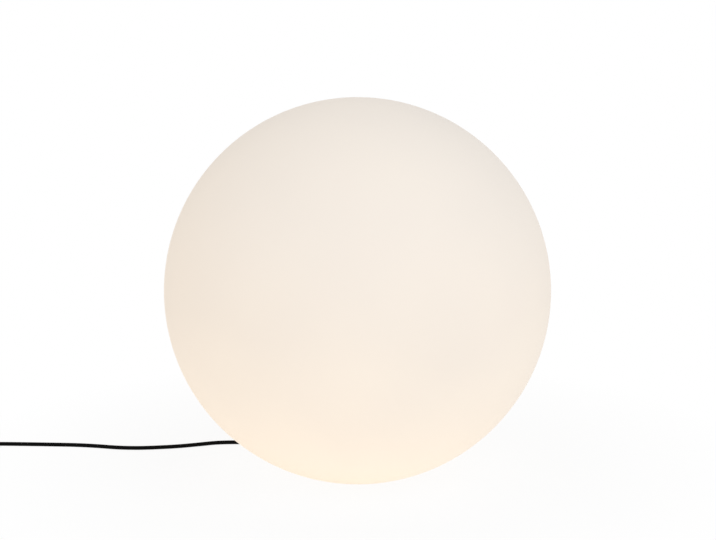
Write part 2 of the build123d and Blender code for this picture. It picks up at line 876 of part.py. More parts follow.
def make_plug_body():
    """Moulded two-pin plug: a rounded nose and a grip that narrows to the boot."""
    height = 2 * plug_half_height
    nose = RectangleRounded(plug_width, height, plug_corner)
    back = RectangleRounded(plug_back_width, plug_back_height, plug_corner)
    nose_start = boot_length + plug_length - plug_nose
    grip = loft([plug_plane(boot_length) * back, plug_plane(nose_start) * nose])
    body = grip + extrude(plug_plane(nose_start) * nose, plug_nose)
    for offset in plug_pin_places():
        hole = Pos(offset, 0, 0) * disc(pin_root_radius + fit_clearance, -pin_embedded, 0)
        body -= plug_plane(boot_length + plug_length) * hole
    return body


def make_plug_pins():
    """Round pins of the plug, with rounded tips and thinner roots in the moulding."""
    pin = disc(pin_radius, 0, pin_length)
    pin = fillet(pin.edges().group_by(Axis.Z)[-1], pin_radius / 2)
    pin += disc(pin_root_radius, -pin_embedded, 0)
    return [plug_plane(boot_length + plug_length) * Pos(offset, 0, 0) * pin for offset in plug_pin_places()]


nodes = {
    "globe_shell": make_globe_shell(),
    "threaded_inserts": make_threaded_inserts(),
    "base_plate": make_base_plate(),
    "base_gasket": make_base_gasket(),
    "base_screws": make_base_screws(),
    "screw_washers": make_screw_washers(),
    "rubber_feet": make_rubber_feet(),
    "gland_body": make_gland_body(),
    "gland_washer": make_gland_washer(),
    "gland_locknut": make_gland_locknut(),
    "gland_seal": make_gland_seal(),
    "gland_dome_nut": make_gland_dome_nut(),
    "holder_bracket": make_holder_bracket(),
    "bracket_screws": make_bracket_screws(),
    "holder_nipple": make_holder_nipple(),
    "nipple_nut": make_nipple_nut(),
    "holder_cap": make_holder_cap(),
    "holder_core": make_holder_core(),
    "wire_terminals": make_wire_terminals(),
    "terminal_screws": make_terminal_screws(),
    "screw_shell": make_screw_shell(),
    "centre_contact": make_centre_contact(),
    "holder_skirt": make_holder_skirt(),
    "core_brown": make_core_wire(-1),
    "core_blue": make_core_wire(1),
    "bulb_contact": make_bulb_contact(),
    "bulb_insulator": make_bulb_insulator(),
    "bulb_cap": make_bulb_cap(),
    "bulb_housing": make_bulb_housing(),
    "bulb_light_board": make_bulb_light_board(),
    "bulb_light_chips": make_bulb_light_chips(),
    "bulb_driver": make_bulb_driver(),
    "bulb_diffuser": make_bulb_diffuser(),
    "cord_entry": make_cord_entry(),
    "cord_lead": make_cord_lead(),
    "cord_coil": make_cord_coil(),
    "cord_tie": make_cord_tie(),
    "plug_boot": make_plug_boot(),
    "plug_body": make_plug_body(),
    "plug_pins": make_plug_pins(),
}

os.makedirs("parts", exist_ok=True)
for name, shape in nodes.items():
    solids = Compound(children=shape) if isinstance(shape, list) else shape
    export_step(solids, f"parts/{name}.step")
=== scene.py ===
"""Looks of an outdoor floor lamp: a lit opal globe on the floor, with a black rubber mains lead."""

import json
import math

import bmesh
import bpy
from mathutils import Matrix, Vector


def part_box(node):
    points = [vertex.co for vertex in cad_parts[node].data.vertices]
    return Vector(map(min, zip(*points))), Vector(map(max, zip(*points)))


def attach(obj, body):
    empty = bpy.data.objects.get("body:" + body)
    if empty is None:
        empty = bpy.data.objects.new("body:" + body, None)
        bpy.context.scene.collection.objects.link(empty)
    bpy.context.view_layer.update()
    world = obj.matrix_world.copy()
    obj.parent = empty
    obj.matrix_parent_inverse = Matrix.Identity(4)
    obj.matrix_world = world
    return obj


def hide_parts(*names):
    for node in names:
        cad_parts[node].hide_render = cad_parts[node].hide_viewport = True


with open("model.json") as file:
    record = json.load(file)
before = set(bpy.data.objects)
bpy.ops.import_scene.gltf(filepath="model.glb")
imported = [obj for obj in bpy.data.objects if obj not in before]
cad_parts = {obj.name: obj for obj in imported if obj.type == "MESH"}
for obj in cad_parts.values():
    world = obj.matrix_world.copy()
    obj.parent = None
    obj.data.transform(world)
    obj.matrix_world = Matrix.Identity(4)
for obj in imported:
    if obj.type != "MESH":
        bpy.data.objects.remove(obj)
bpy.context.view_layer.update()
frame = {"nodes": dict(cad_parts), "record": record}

# The photograph's frame, and where the globe lies in it, in pixels
IMAGE_WIDTH = 716
IMAGE_HEIGHT = 540
GLOBE_CENTRE_X_PX = 357.5
GLOBE_CENTRE_Y_PX = 290.5
GLOBE_RADIUS_PX = 193.6

# Camera, in metres, degrees and millimetres of sensor
CAMERA_DISTANCE = 3.0
CAMERA_ELEVATION = 13.0
SENSOR_WIDTH = 36.0

# Mains lead, in metres: its route on the floor, then its put-away turns
CORD_RADIUS = 0.003
CORD_LEVEL = 0.00305
COIL_LEVEL = 0.00395
GLAND_MOUTH = 0.071
COIL_CENTRE_X = -0.612
COIL_ENTRY_Y = 0.098
COIL_OUTER_RADIUS = 0.0435
COIL_PITCH = 0.0065
COIL_TURNS = 5.25
COIL_CLIMB = 0.5
COIL_TAIL = 0.022
COIL_POINTS_PER_TURN = 16
SHEATH_EDGE = 0.0003
CORD_ROUTE = [
    (0, 0, GLAND_MOUTH),
    (0, 0, CORD_LEVEL),
    (0, 0.078, CORD_LEVEL),
    (-0.006, 0.150, CORD_LEVEL),
    (-0.070, 0.157, CORD_LEVEL),
    (-0.140, 0.107, CORD_LEVEL),
    (-0.208, 0.110, CORD_LEVEL),
    (-0.245, 0.0965, CORD_LEVEL),
    (-0.283, 0.085, CORD_LEVEL),
    (-0.348, 0.077, CORD_LEVEL),
    (-0.413, 0.094, CORD_LEVEL),
    (-0.479, 0.098, CORD_LEVEL),
    (-0.543, COIL_ENTRY_Y, COIL_LEVEL),
    (COIL_CENTRE_X + 2 * CORD_RADIUS, COIL_ENTRY_Y, COIL_LEVEL),
]

# Cores of the lead inside the holder, with the straight stretches below their bend and in their terminals
CORE_RADIUS = 0.0011
CORE_SPACING = 0.003
CORE_BEND_LEVEL = 0.125
CORE_BEND_LEAD = 0.0044
CORE_END_LEAD = 0.0055

# Fineness of the meshes: steps of a curve, points of a ring, rings along a piece; sharp angle in degrees
CURVE_ROUND_STEPS = 6
CURVE_LONG_STEPS = 12
RING_POINTS = 96
BOOT_RING_POINTS = 48
PLUG_RING_POINTS = 64
CAP_RINGS = 90
SHELL_RINGS = 100
SHEATH_RINGS = 6
STRAP_RINGS = 150
PLUG_RINGS = 76
BOOT_RINGS = 120
SHARP_ANGLE = 40

# Strap round the wound lead: shares of a turn, and how far its lapped end rises, in thicknesses
STRAP_THICKNESS = 0.0008
STRAP_START_ANGLE = 55
STRAP_OVERLAP = 0.2
STRAP_LAP_FROM = 0.9
STRAP_LAP_RAMP = 0.1
STRAP_LAP_RISE = 1.05
STRAP_SLOPE_STEP = 0.002
STRAP_SQUARENESS = 1 / 3

# Plug: half sizes of the grip at its back, its ridges between two shares of its length, and its rounding
PLUG_BACK_HALF_WIDTH = 0.0085
PLUG_BACK_HALF_HEIGHT = 0.007
PLUG_RIDGE_START = 0.14
PLUG_GRIP_SHARE = 0.737
PLUG_RIDGES = 5
PLUG_RIDGE_DEPTH = 0.0007
PLUG_EDGE = 0.0012
PLUG_SQUARENESS = 1 / 2

# Strain relief of the plug: its grooves' shift and half width are shares of their pitch
BOOT_END_RADIUS = 0.0042
BOOT_GROOVES = 4
BOOT_GROOVE_DEPTH = 0.0009
BOOT_GROOVE_SHIFT = 1 / 8
BOOT_GROOVE_HALF_WIDTH = 1 / 5

# Rolled thread of the bulb's cap and of the shell that takes it
THREAD_PITCH = 0.003629
THREAD_LEVEL = 0.163
THREAD_DEPTH = 0.001
THREAD_GAP = 0.0004
CAP_ROOT_RADIUS = 0.0122
CAP_BORE = 0.0114
CAP_SHEET = 0.0008
CAP_COLLAR = 0.003
SHELL_SHEET = 0.0005
SHELL_MOUTH = 0.007

# Opal globe: its colour and shine, its glow by share of its height, and painted shade by share of its width
# that leaves the left side warmer and the right side cooler, in linear colour
GLOBE_COLOUR = (0.58, 0.57, 0.55)
GLOBE_ROUGHNESS = 0.5
GLOBE_SHINE = 0.05
GLOW_BY_HEIGHT = [
    (0.04, (0.66, 0.53, 0.42)),
    (0.46, (0.48, 0.39, 0.32)),
    (0.97, (0.39, 0.33, 0.29)),
]
# Painted shade across the width: the studio light leaves the left side warmer and the right side cooler
PAINTED_SHADE_BY_WIDTH = [
    (0.0, (1.0, 0.98, 0.89)),
    (1.0, (0.96, 1.0, 1.0)),
]
GLOW_STRENGTH = 1.0
GLOW_DRIFT = 0.02
GLOW_DRIFT_SCALE = 5
UNEVEN_WALL_SCALE = 7
UNEVEN_WALL_THICK = (0.975, 0.975, 0.98)
UNEVEN_WALL_THIN = (1.02, 1.02, 1.015)

# Outer skin of the globe, which takes more of the light that leaves it at a slant
SKIN_WEIGHT = 0.35
SKIN_ROUGHNESS = 0.5
SKIN_IOR = 1.02
SKIN_TINT = (0.93, 0.93, 0.93, 1.0)

# Values that most of a noise texture lies between, strength of every bump, and gamma of screen colours
NOISE_LOW = 0.3
NOISE_HIGH = 0.7
BUMP_STRENGTH = 0.6
SCREEN_GAMMA = 2.2

# Moulded plastic and rubber: dark and light tone, lowest and highest roughness, shine
MOULDED_FINISHES = {
    "black_plastic": ((0.016, 0.016, 0.017), (0.026, 0.026, 0.027), (0.42, 0.58), 0.3),
    "holder_plastic": ((0.012, 0.012, 0.013), (0.02, 0.02, 0.021), (0.22, 0.34), 0.5),
    "black_rubber": ((0.014, 0.014, 0.014), (0.024, 0.024, 0.024), (0.6, 0.75), 0.2),
    "plug_rubber": ((0.005, 0.005, 0.005), (0.009, 0.009, 0.009), (0.48, 0.62), 0.2),
    "white_ceramic": ((0.70, 0.67, 0.61), (0.78, 0.76, 0.71), (0.4, 0.6), 0.5),
    "brown_insulation": ((0.10, 0.035, 0.015), (0.15, 0.055, 0.025), (0.3, 0.42), 0.5),
    "blue_insulation": ((0.015, 0.07, 0.30), (0.03, 0.11, 0.40), (0.3, 0.42), 0.5),
    "bulb_plastic": ((0.74, 0.74, 0.72), (0.82, 0.82, 0.80), (0.32, 0.45), 0.5),
    "board_aluminium": ((0.78, 0.78, 0.77), (0.84, 0.84, 0.83), (0.35, 0.5), 0.5),
    "driver_board": ((0.02, 0.12, 0.05), (0.03, 0.18, 0.08), (0.35, 0.55), 0.5),
}

# Metals: dark and light tone, lowest and highest roughness
METAL_FINISHES = {
    "brass": ((0.60, 0.42, 0.16), (0.74, 0.54, 0.24), (0.24, 0.38)),
    "steel": ((0.48, 0.48, 0.48), (0.62, 0.62, 0.62), (0.26, 0.4)),
    "zinc_steel": ((0.46, 0.48, 0.50), (0.62, 0.63, 0.64), (0.3, 0.48)),
    "nickel_sheet": ((0.60, 0.57, 0.52), (0.72, 0.69, 0.64), (0.16, 0.28)),
    "nickel_pins": ((0.62, 0.60, 0.56), (0.74, 0.72, 0.68), (0.14, 0.24)),
}

# Lit plastic and phosphor: dark and light tone, 8-bit screen colour of the glow, its strength
GLOWING_FINISHES = {
    "frosted_plastic": ((0.55, 0.53, 0.49), (0.60, 0.58, 0.54), (255, 225, 175), 0.42),
    "light_chips": ((0.80, 0.56, 0.15), (0.86, 0.64, 0.20), (255, 225, 150), 1.0),
}

# Floor, in metres: its share of even white near the lamp, where the rest takes shadow, and where all is white
FLOOR_REACH = 8.0
FLOOR_COLOUR = (0.85, 0.85, 0.85)
FLOOR_ROUGHNESS = 0.9
FLOOR_SHADOW_TO = 0.28
FLOOR_WHITE_FROM = 0.62
FLOOR_WHITENESS = 0.9

# Studio light: the surroundings' strength, and the soft lamps' places in metres and power in watts
WORLD_LIGHT = 0.6
WORLD_SEEN = 1.0
LIGHT_TARGET = (0, 0, 0.27)
LIGHT_SIZE = 2.0
KEY_PLACE = (1.8, -2.2, 2.6)
KEY_POWER = 35
FILL_PLACE = (-2.4, -1.6, 1.6)
FILL_POWER = 12


def ease(share):
    """Smooth step from 0 to 1."""
    share = min(max(share, 0), 1)
    return share * share * (3 - 2 * share)


def steps_between(low, high, count):
    """Evenly spaced values from low to high."""
    return [low + (high - low) * step / count for step in range(count + 1)]


def new_object(name, data):
    """Object in the scene with the given mesh, curve, camera or lamp."""
    made = bpy.data.objects.new(name, data)
    bpy.context.collection.objects.link(made)
    return made


def globe_ball():
    """Middle and radius of the globe."""
    low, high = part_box("globe_shell")
    radius = (high.x - low.x) / 2
    return Vector((0, 0, high.z - radius)), radius


def make_camera():
    """Camera in front of the globe and a little above it, framed as in the photograph."""
    centre, radius = globe_ball()
    focal_px = GLOBE_RADIUS_PX / math.tan(math.asin(radius / CAMERA_DISTANCE))
    elevation = math.radians(CAMERA_ELEVATION)
    pitch = math.atan((GLOBE_CENTRE_Y_PX - IMAGE_HEIGHT / 2) / focal_px)
    yaw = math.atan((IMAGE_WIDTH / 2 - GLOBE_CENTRE_X_PX) / focal_px)
    data = bpy.data.cameras.new("camera")
    data.sensor_fit = "HORIZONTAL"
    data.sensor_width = SENSOR_WIDTH
    data.lens = focal_px / IMAGE_WIDTH * SENSOR_WIDTH
    camera = new_object("camera", data)
    camera.location = centre + CAMERA_DISTANCE * Vector((0, -math.cos(elevation), math.sin(elevation)))
    camera.rotation_euler = (math.pi / 2 - elevation + pitch, 0, -yaw)
    bpy.context.scene.camera = camera


def coil_point(turn):
    """Control point of the wound lead after a number of turns, clockwise from above."""
    halfway = COIL_TURNS / 2
    radius = COIL_OUTER_RADIUS - COIL_PITCH * (halfway - abs(turn - halfway))
    # The points lie outside the smooth line that they guide
    radius /= math.cos(math.pi / COIL_POINTS_PER_TURN)
    angle = math.radians(270 - 360 * turn)
    level = COIL_LEVEL + COIL_PITCH * ease((turn - halfway) / COIL_CLIMB + 0.5)
    centre_y = COIL_ENTRY_Y + COIL_OUTER_RADIUS
    return COIL_CENTRE_X + radius * math.cos(angle), centre_y + radius * math.sin(angle), level


def smooth_curve(name, points, radius):
    """Round-section curve on one smooth spline."""
    curve = bpy.data.curves.new(name, "CURVE")
    curve.dimensions = "3D"
    curve.bevel_depth = radius
    curve.bevel_resolution = CURVE_ROUND_STEPS
    curve.use_fill_caps = True
    curve.resolution_u = CURVE_LONG_STEPS
    spline = curve.splines.new("NURBS")
    spline.points.add(len(points) - 1)
    for point, place in zip(spline.points, points):
        point.co = (*place, 1)
    spline.order_u = 3
    spline.use_endpoint_u = True
    return new_object(name, curve)


def make_cord():
    """The whole lead as one smooth curve: its route on the floor, its turns and its end at the plug."""
    steps = round(COIL_TURNS * COIL_POINTS_PER_TURN)
    turns = [coil_point(turn) for turn in steps_between(0, COIL_TURNS, steps)]
    end_y = COIL_ENTRY_Y + COIL_OUTER_RADIUS + COIL_TAIL
    end = (COIL_CENTRE_X - COIL_OUTER_RADIUS, end_y, COIL_LEVEL + COIL_PITCH)
    return smooth_curve("mains_cord", CORD_ROUTE + turns + [end], CORD_RADIUS)


def make_core(name, node, side):
    """One core of the lead, from the cut sheath up through the nipple into its terminal."""
    low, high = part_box(node)
    start_x = side * CORE_SPACING / 2
    end_x = side * (max(abs(low.x), abs(high.x)) - CORE_RADIUS)
    end_y = low.y + CORE_RADIUS
    points = [
        (start_x, 0, low.z),
        (start_x, 0, CORE_BEND_LEVEL - CORE_BEND_LEAD),
        (start_x, 0, CORE_BEND_LEVEL),
        (end_x, end_y, high.z - CORE_END_LEAD),
        (end_x, end_y, high.z),
    ]
    return smooth_curve(name, points, CORE_RADIUS)


def skin(name, rings, loop=False):
    """Mesh through rings of points, closed at both ends or with its last ring joined to its first."""
    count = len(rings[0])
    joins = list(zip(range(len(rings)), range(1, len(rings))))
    if loop:
        joins.append((len(rings) - 1, 0))
    faces = []
    for lower, upper in joins:
        for index in range(count):
            after = (index + 1) % count
            corners = ((lower, index), (lower, after), (upper, after), (upper, index))
            faces.append(tuple(ring * count + place for ring, place in corners))
    if not loop:
        faces.append(tuple(range(count)))
        faces.append(tuple(range(len(rings) * count - count, len(rings) * count)))
    mesh = bpy.data.meshes.new(name)
    mesh.from_pydata([point for ring in rings for point in ring], [], faces)
    shape = bmesh.new()
    shape.from_mesh(mesh)
    bmesh.ops.recalc_face_normals(shape, faces=shape.faces)
    shape.to_mesh(mesh)
    shape.free()
    mesh.shade_smooth()
    mesh.set_sharp_from_angle(angle=math.radians(SHARP_ANGLE))
    return new_object(name, mesh)


def round_ring(radius, level, count=RING_POINTS):
    """Ring about the Z axis; the radius is a number or a function of the angle."""
    points = []
    for index in range(count):
        angle = 2 * math.pi * index / count
        reach = radius(angle) if callable(radius) else radius
        points.append((reach * math.cos(angle), reach * math.sin(angle), level))
    return points


def squared_round(angle, half_across, half_up, squareness):
    """Point on an oval that swells towards its rectangle; a squareness of 1 is a plain oval."""
    across, up = math.cos(angle), math.sin(angle)
    return (
        half_across * math.copysign(abs(across) ** squareness, across),
        half_up * math.copysign(abs(up) ** squareness, up),
    )


def thread_height(angle, level):
    """Height of the thread over its root at an angle and a level; it rises anticlockwise."""
    phase = (level - THREAD_LEVEL) / THREAD_PITCH - angle / (2 * math.pi)
    return THREAD_DEPTH * (0.5 + 0.5 * math.cos(2 * math.pi * phase))


def make_bulb_cap():
    """Sheet cap of the bulb with its rolled thread, a rounded bottom and a flared collar."""
    low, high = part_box("bulb_cap")
    collar = high.z - CAP_COLLAR

    def wall(level):
        fade = ease((level - low.z) / THREAD_PITCH) * ease((collar - level) / THREAD_PITCH)
        return round_ring(lambda angle: CAP_ROOT_RADIUS + fade * thread_height(angle, level), level)

    rings = [round_ring(CAP_BORE, low.z), round_ring(CAP_ROOT_RADIUS, low.z + CAP_SHEET)]
    rings += [wall(level) for level in steps_between(low.z + 2 * CAP_SHEET, collar, CAP_RINGS)]
    rings.append(round_ring(high.x, high.z))
    rings.append(round_ring(CAP_BORE, high.z))
    rings.append(round_ring(CAP_BORE, low.z + CAP_SHEET))
    return skin("bulb_screw_cap", rings)


def make_screw_shell():
    """Plated sheet cup of the holder, with the rolled thread that the bulb's cap runs in."""
    low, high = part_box("screw_shell")
    floor = low.z + SHELL_SHEET

    def wall(level, offset):
        flare = 1 - ease((level - floor) / THREAD_PITCH) * ease((high.z - level) / THREAD_PITCH)
        root = CAP_ROOT_RADIUS + THREAD_GAP + offset

        def reach(angle):
            height = thread_height(angle, level)
            return root + height + flare * (THREAD_DEPTH - height)

        return round_ring(reach, level)

    levels = steps_between(floor, high.z, SHELL_RINGS)
    rings = [round_ring(SHELL_MOUTH, low.z), round_ring(high.x - SHELL_SHEET, low.z)]
    rings += [wall(level, SHELL_SHEET) for level in levels]
    rings += [wall(level, 0) for level in reversed(levels)]
    rings.append(round_ring(SHELL_MOUTH, floor))
    return skin("holder_screw_shell", rings, loop=True)


def make_sheath_end():
    """Cut end of the lead's sheath above the gland."""
    low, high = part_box("cord_entry")
    levels = steps_between(low.z, high.z - SHEATH_EDGE, SHEATH_RINGS)
    rings = [round_ring(CORD_RADIUS, level) for level in levels]
    rings.append(round_ring(CORD_RADIUS - SHEATH_EDGE, high.z))
    return skin("cord_sheath_end", rings)


def make_strap():
    """Hook-and-loop strap once round the wound lead, with its end lapped over its start on top."""
    low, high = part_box("cord_tie")
    middle = (low + high) / 2
    half_y = (high.y - low.y - STRAP_THICKNESS) / 2
    half_z = (high.z - low.z - STRAP_THICKNESS) / 2
    half_width = (high.x - low.x) / 2
    half_sheet = STRAP_THICKNESS / 2
    section = [
        (-half_width, -half_sheet / 2),
        (-half_width + half_sheet, -half_sheet),
        (half_width - half_sheet, -half_sheet),
        (half_width, -half_sheet / 2),
        (half_width, half_sheet / 2),
        (half_width - half_sheet, half_sheet),
        (-half_width + half_sheet, half_sheet),
        (-half_width, half_sheet / 2),
    ]

    def loop_point(turn):
        angle = 2 * math.pi * turn + math.radians(STRAP_START_ANGLE)
        return Vector((0, *squared_round(angle, half_y, half_z, STRAP_SQUARENESS)))

    rings = []
    for turn in steps_between(0, 1 + STRAP_OVERLAP, STRAP_RINGS):
        along = loop_point(turn + STRAP_SLOPE_STEP) - loop_point(turn - STRAP_SLOPE_STEP)
        along.normalize()
        outward = Vector((0, along.z, -along.y))
        lift = STRAP_LAP_RISE * STRAP_THICKNESS * ease((turn - STRAP_LAP_FROM) / STRAP_LAP_RAMP)
        centre = middle + loop_point(turn) + outward * lift
        rings.append([centre + Vector((across, 0, 0)) + outward * depth for across, depth in section])
    return skin("cord_strap", rings)


def plug_ring(centre, half_width, half_height):
    """Rounded rectangle across the plug."""
    points = []
    for index in range(PLUG_RING_POINTS):
        angle = 2 * math.pi * index / PLUG_RING_POINTS
        x, z = squared_round(angle, half_width, half_height, PLUG_SQUARENESS)
        points.append(centre + Vector((x, 0, z)))
    return points


def make_plug_grip():
    """Moulded plug: a grip with finger ridges that widens from the boot to a rounded nose."""
    low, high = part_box("plug_body")
    middle = (low + high) / 2
    length = high.y - low.y
    full_width = (high.x - low.x) / 2
    full_height = (high.z - low.z) / 2
    rings = []
    for share in steps_between(0, 1, PLUG_RINGS):
        widening = min(share / PLUG_GRIP_SHARE, 1)
        widening = (widening + ease(widening)) / 2
        width = PLUG_BACK_HALF_WIDTH + (full_width - PLUG_BACK_HALF_WIDTH) * widening
        height = PLUG_BACK_HALF_HEIGHT + (full_height - PLUG_BACK_HALF_HEIGHT) * widening
        ridge = (share - PLUG_RIDGE_START) / (PLUG_GRIP_SHARE - PLUG_RIDGE_START)
        if 0 < ridge < 1:
            dip = PLUG_RIDGE_DEPTH * (0.5 - 0.5 * math.cos(2 * math.pi * PLUG_RIDGES * ridge))
            width -= dip
            height -= dip
        edge = min(share, 1 - share) * length
        inset = PLUG_EDGE - math.sqrt(PLUG_EDGE**2 - max(PLUG_EDGE - edge, 0) ** 2)
        centre = Vector((middle.x, low.y + length * share, middle.z))
        rings.append(plug_ring(centre, width - inset, height - inset))
    return skin("plug_grip", rings)


def make_plug_boot():
    """Tapered strain relief with soft grooves."""
    low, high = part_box("plug_boot")
    middle = (low + high) / 2
    length = high.y - low.y
    root_radius = (high.x - low.x) / 2
    pitch = length / (BOOT_GROOVES + 1)
    grooves = [pitch * (number - BOOT_GROOVE_SHIFT) for number in range(1, BOOT_GROOVES + 1)]
    rings = []
    for place in steps_between(0, length, BOOT_RINGS):
        radius = BOOT_END_RADIUS + (root_radius - BOOT_END_RADIUS) * place / length
        nearest = min(abs(place - groove) for groove in grooves)
        radius -= BOOT_GROOVE_DEPTH * (1 - ease(nearest / (BOOT_GROOVE_HALF_WIDTH * pitch)))
        ring = round_ring(radius, 0, BOOT_RING_POINTS)
        rings.append([(middle.x + x, low.y + place, middle.z + y) for x, y, level in ring])
    return skin("plug_strain_relief", rings)


def linear(red, green, blue):
    """Linear colour of an 8-bit screen colour."""
    return tuple((value / 255) ** SCREEN_GAMMA for value in (red, green, blue)) + (1.0,)


def new_material(name, colour, roughness, metallic=0.0):
    """Material with a plain shader, and its node tree and shader node."""
    material = bpy.data.materials.new(name)
    material.use_nodes = True
    tree = material.node_tree
    shader = tree.nodes["Principled BSDF"]
    shader.inputs["Base Color"].default_value = (*colour, 1)
    shader.inputs["Roughness"].default_value = roughness
    shader.inputs["Metallic"].default_value = metallic
    return material, tree, shader


def object_place(tree):
    """Place on the object, in metres."""
    return tree.nodes.new("ShaderNodeTexCoord").outputs["Object"]


def noise(tree, scale, detail=3.0):
    """Value of a noise texture in object coordinates, in metres."""
    texture = tree.nodes.new("ShaderNodeTexNoise")
    texture.inputs["Scale"].default_value = scale
    texture.inputs["Detail"].default_value = detail
    tree.links.new(object_place(tree), texture.inputs["Vector"])
    return texture.outputs["Fac"]


def ramp(tree, source, stops):
    """Colour ramp over a source socket; stops are (position, linear colour)."""
    node = tree.nodes.new("ShaderNodeValToRGB")
    elements = node.color_ramp.elements
    while len(elements) < len(stops):
        elements.new(0.5)
    for element, (position, colour) in zip(elements, stops):
        element.position = position
        element.color = (*colour, 1)
    tree.links.new(source, node.inputs["Fac"])
    return node.outputs["Color"]


def multiplied(tree, first, second):
    """Product of two colours."""
    mix = tree.nodes.new("ShaderNodeMix")
    mix.data_type = "RGBA"
    mix.blend_type = "MULTIPLY"
    mix.inputs["Factor"].default_value = 1.0
    tree.links.new(first, mix.inputs["A"])
    tree.links.new(second, mix.inputs["B"])
    return mix.outputs["Result"]


def combined(tree, operation, first, second):
    """Sum, product or other result of two values."""
    node = tree.nodes.new("ShaderNodeMath")
    node.operation = operation
    tree.links.new(first, node.inputs[0])
    tree.links.new(second, node.inputs[1])
    return node.outputs["Value"]


def mapped(tree, source, low, high, to_low=0.0, to_high=1.0):
    """Value of a source between low and high, mapped to another range."""
    node = tree.nodes.new("ShaderNodeMapRange")
    node.inputs["From Min"].default_value = low
    node.inputs["From Max"].default_value = high
    node.inputs["To Min"].default_value = to_low
    node.inputs["To Max"].default_value = to_high
    tree.links.new(source, node.inputs["Value"])
    return node.outputs["Result"]


def mottled(tree, dark, light, scale, detail=3.0):
    """Uneven colour between two linear colours."""
    return ramp(tree, noise(tree, scale, detail), [(NOISE_LOW, dark), (NOISE_HIGH, light)])


def mottle(tree, shader, dark, light, scale):
    """Uneven base colour between two linear colours."""
    tree.links.new(mottled(tree, dark, light, scale), shader.inputs["Base Color"])


def uneven_gloss(tree, shader, gloss, scale):
    """Roughness that wanders between the two values of gloss."""
    roughness = mapped(tree, noise(tree, scale), NOISE_LOW, NOISE_HIGH, *gloss)
    tree.links.new(roughness, shader.inputs["Roughness"])


def bumped(tree, shader, height, depth):
    """Bump from a height socket; depth in metres."""
    bump = tree.nodes.new("ShaderNodeBump")
    bump.inputs["Distance"].default_value = depth
    bump.inputs["Strength"].default_value = BUMP_STRENGTH
    tree.links.new(height, bump.inputs["Height"])
    tree.links.new(bump.outputs["Normal"], shader.inputs["Normal"])


def grain(tree, shader, scale, depth):
    """Fine bump of a moulded or worn surface; depth in metres."""
    bumped(tree, shader, noise(tree, scale, detail=2.0), depth)


def opal_plastic():
    """Lit opal polyethylene: a satin skin whose glow is warmer and brighter towards the floor, with painted
    shade that leaves its left side warmer and its right side cooler.
    """
    material, tree, shader = new_material("opal_plastic", GLOBE_COLOUR, GLOBE_ROUGHNESS)
    shader.inputs["Specular IOR Level"].default_value = GLOBE_SHINE
    shader.inputs["Coat Weight"].default_value = SKIN_WEIGHT
    shader.inputs["Coat Roughness"].default_value = SKIN_ROUGHNESS
    shader.inputs["Coat IOR"].default_value = SKIN_IOR
    shader.inputs["Coat Tint"].default_value = SKIN_TINT
    grain(tree, shader, scale=700, depth=0.00006)
    low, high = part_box("globe_shell")
    axes = tree.nodes.new("ShaderNodeSeparateXYZ")
    tree.links.new(object_place(tree), axes.inputs["Vector"])
    wander = noise(tree, GLOW_DRIFT_SCALE, detail=1.0)
    drift = mapped(tree, wander, NOISE_LOW, NOISE_HIGH, -GLOW_DRIFT, GLOW_DRIFT)
    level = combined(tree, "ADD", axes.outputs["Z"], drift)
    by_height = ramp(tree, mapped(tree, level, low.z, high.z), GLOW_BY_HEIGHT)
    # Painted shade across the globe's width: its left side warmer, its right side cooler
    shade_by_width = ramp(tree, mapped(tree, axes.outputs["X"], low.x, high.x), PAINTED_SHADE_BY_WIDTH)
    wall = mottled(tree, UNEVEN_WALL_THICK, UNEVEN_WALL_THIN, UNEVEN_WALL_SCALE, detail=1.0)
    # The emission colour carries the glow and the painted shade across the width
    glow = multiplied(tree, multiplied(tree, by_height, shade_by_width), wall)
    tree.links.new(glow, shader.inputs["Emission Color"])
    shader.inputs["Emission Strength"].default_value = GLOW_STRENGTH
    return material


def cord_rubber():
    """Matt black extruded rubber."""
    material, tree, shader = new_material("cord_rubber", (0.002, 0.002, 0.002), 0.55)
    shader.inputs["Specular IOR Level"].default_value = 0.05
    mottle(tree, shader, (0.0012, 0.0012, 0.0012), (0.0028, 0.0028, 0.0028), scale=120)
    uneven_gloss(tree, shader, (0.45, 0.62), scale=90)
    grain(tree, shader, scale=1500, depth=0.000015)
    return material


def strap_fabric():
    """Black woven strap: threads across and along it."""
    material, tree, shader = new_material("tie_fabric", (0.03, 0.03, 0.03), 0.9)
    mottle(tree, shader, (0.018, 0.018, 0.018), (0.045, 0.045, 0.045), scale=500)
    threads = []
    for direction in ("X", "DIAGONAL"):
        wave = tree.nodes.new("ShaderNodeTexWave")
        wave.bands_direction = direction
        wave.inputs["Scale"].default_value = 400
        wave.inputs["Distortion"].default_value = 0.4
        tree.links.new(object_place(tree), wave.inputs["Vector"])
        threads.append(wave.outputs["Color"])
    bumped(tree, shader, multiplied(tree, *threads), depth=0.00025)
    shader.inputs["Sheen Weight"].default_value = 0.3
    return material


def moulded(name, dark, light, gloss, shine):
    """Moulded plastic or rubber with a fine texture; gloss is its lowest and highest roughness."""
    material, tree, shader = new_material(name, light, gloss[0])
    shader.inputs["Specular IOR Level"].default_value = shine
    mottle(tree, shader, dark, light, scale=60)
    uneven_gloss(tree, shader, gloss, scale=80)
    grain(tree, shader, scale=1200, depth=0.00005)
    return material


def metal(name, dark, light, gloss):
    """Plated or turned metal with uneven tone and gloss."""
    material, tree, shader = new_material(name, light, gloss[0], metallic=1.0)
    mottle(tree, shader, dark, light, scale=150)
    uneven_gloss(tree, shader, gloss, scale=400)
    return material


def glowing(name, dark, light, glow, strength):
    """Lit frosted plastic or phosphor with an uneven tone and a fine texture."""
    material, tree, shader = new_material(name, light, 0.5)
    mottle(tree, shader, dark, light, scale=90)
    uneven_gloss(tree, shader, (0.4, 0.6), scale=200)
    grain(tree, shader, scale=1500, depth=0.00002)
    shader.inputs["Emission Color"].default_value = linear(*glow)
    shader.inputs["Emission Strength"].default_value = strength
    return material


